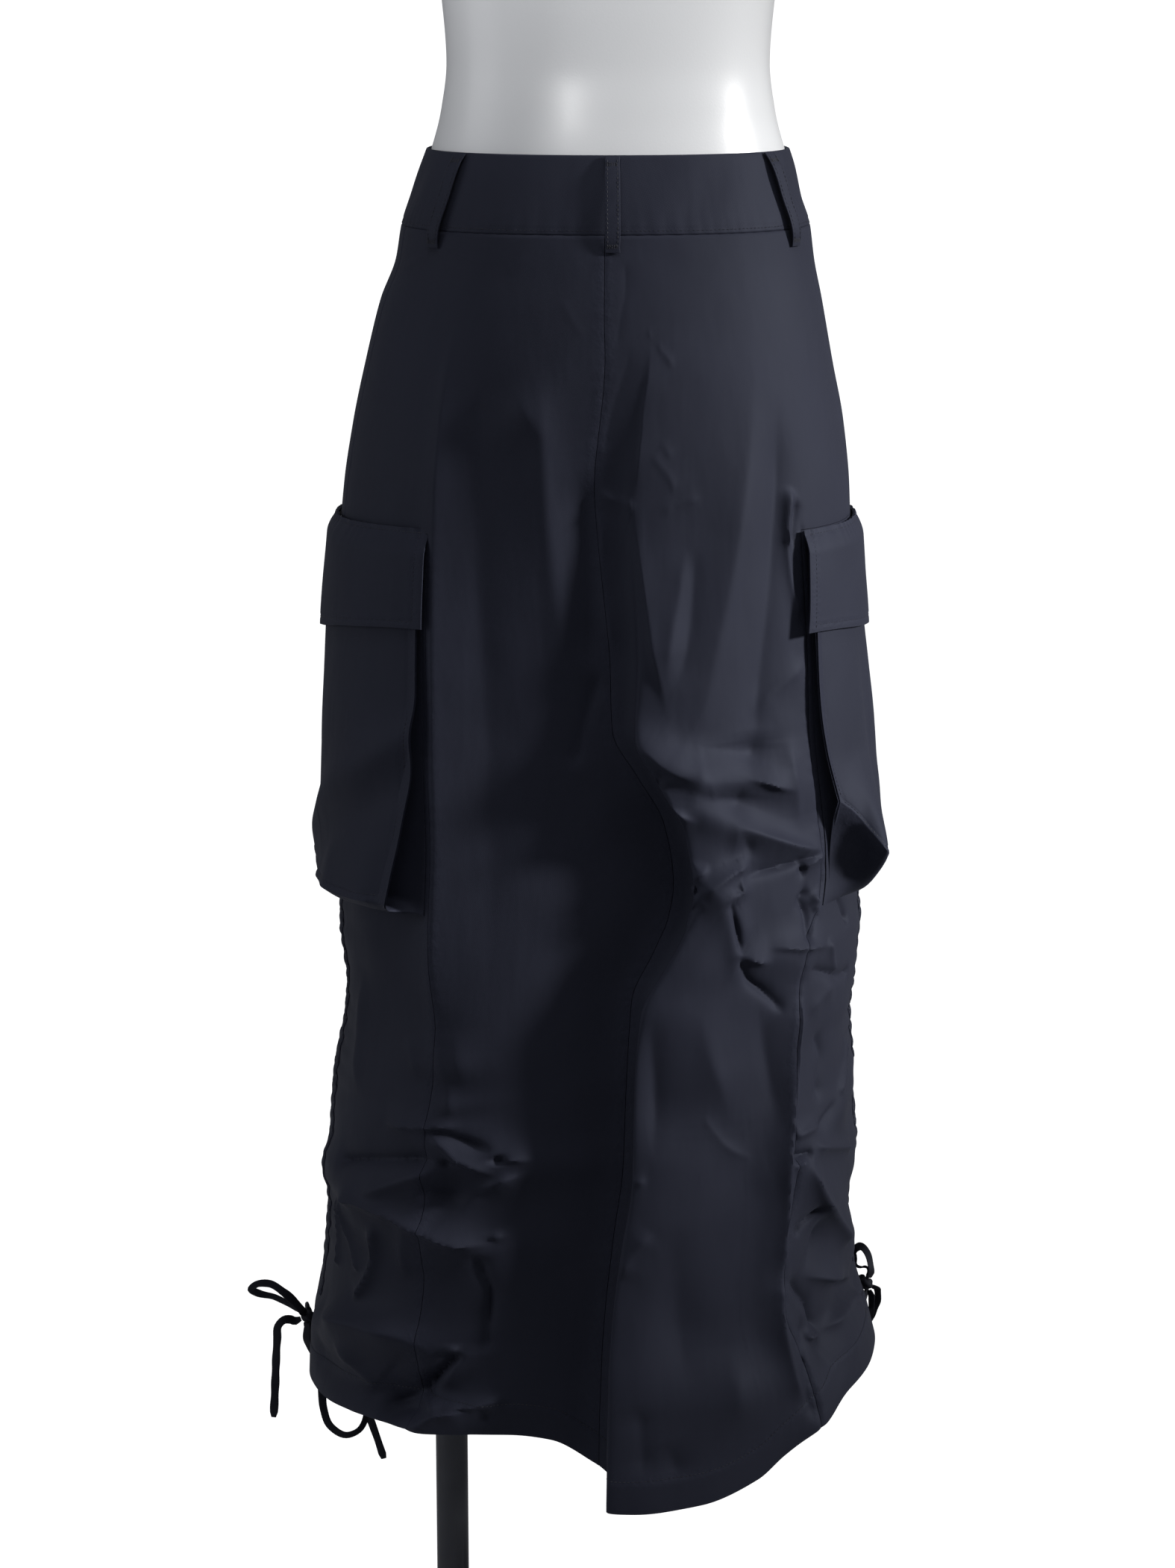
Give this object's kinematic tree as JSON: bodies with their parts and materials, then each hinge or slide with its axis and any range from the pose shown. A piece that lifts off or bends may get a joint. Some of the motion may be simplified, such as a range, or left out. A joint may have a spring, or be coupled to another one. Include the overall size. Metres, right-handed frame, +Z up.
{
  "type": "cargo utility skirt on a dress form and stand",
  "caption": "Long dark cargo skirt with belt loops, flapped bellows pockets and gathered drawstring sides, worn by a limbless dress form on a round-based pole stand.",
  "frame": {"origin": "centre of the base disc's underside, on the floor", "axes": "+Z up along the stand, -Y towards the skirt's back, which is the side the picture shows, and +X towards the skirt's right side"},
  "size_m": [0.4718, 0.3604, 1.692],
  "materials": {
    "cloth": "plain-woven dark blue-grey cotton with a faint sheen",
    "tie_ribbon": "flat narrow ribbon of the same cloth",
    "button": "dark moulded button",
    "form_shell": "smooth pale grey-white shell",
    "stand_metal": "dark grey satin metal"
  },
  "bodies": {
    "root": {"waistband": "cloth", "belt_loop_back": "cloth", "belt_loop_back_left": "cloth", "belt_loop_back_right": "cloth", "belt_loop_front_left": "cloth", "belt_loop_front_right": "cloth", "back_panel_left": "cloth", "back_panel_right": "cloth", "side_panel_left": "cloth", "side_panel_right": "cloth", "front_panel_left": "cloth", "front_panel_right": "cloth", "fly_placket": "cloth", "pocket_left": "cloth", "pocket_right": "cloth", "pocket_flap_left": "cloth", "pocket_flap_right": "cloth", "casing_left": "cloth", "casing_right": "cloth", "tie_knot_left": "tie_ribbon", "tie_knot_right": "tie_ribbon", "tie_loop_left_upper": "tie_ribbon", "tie_loop_left_lower": "tie_ribbon", "tie_end_left_outer": "tie_ribbon", "tie_end_left_inner": "tie_ribbon", "tie_loop_right_upper": "tie_ribbon", "tie_loop_right_lower": "tie_ribbon", "tie_end_right_outer": "tie_ribbon", "tie_end_right_inner": "tie_ribbon", "waist_button": "button", "dress_form": "form_shell", "form_collar": "stand_metal", "stand_pole": "stand_metal", "base_hub": "stand_metal", "base_disc": "stand_metal"}
  },
  "joints": []
}
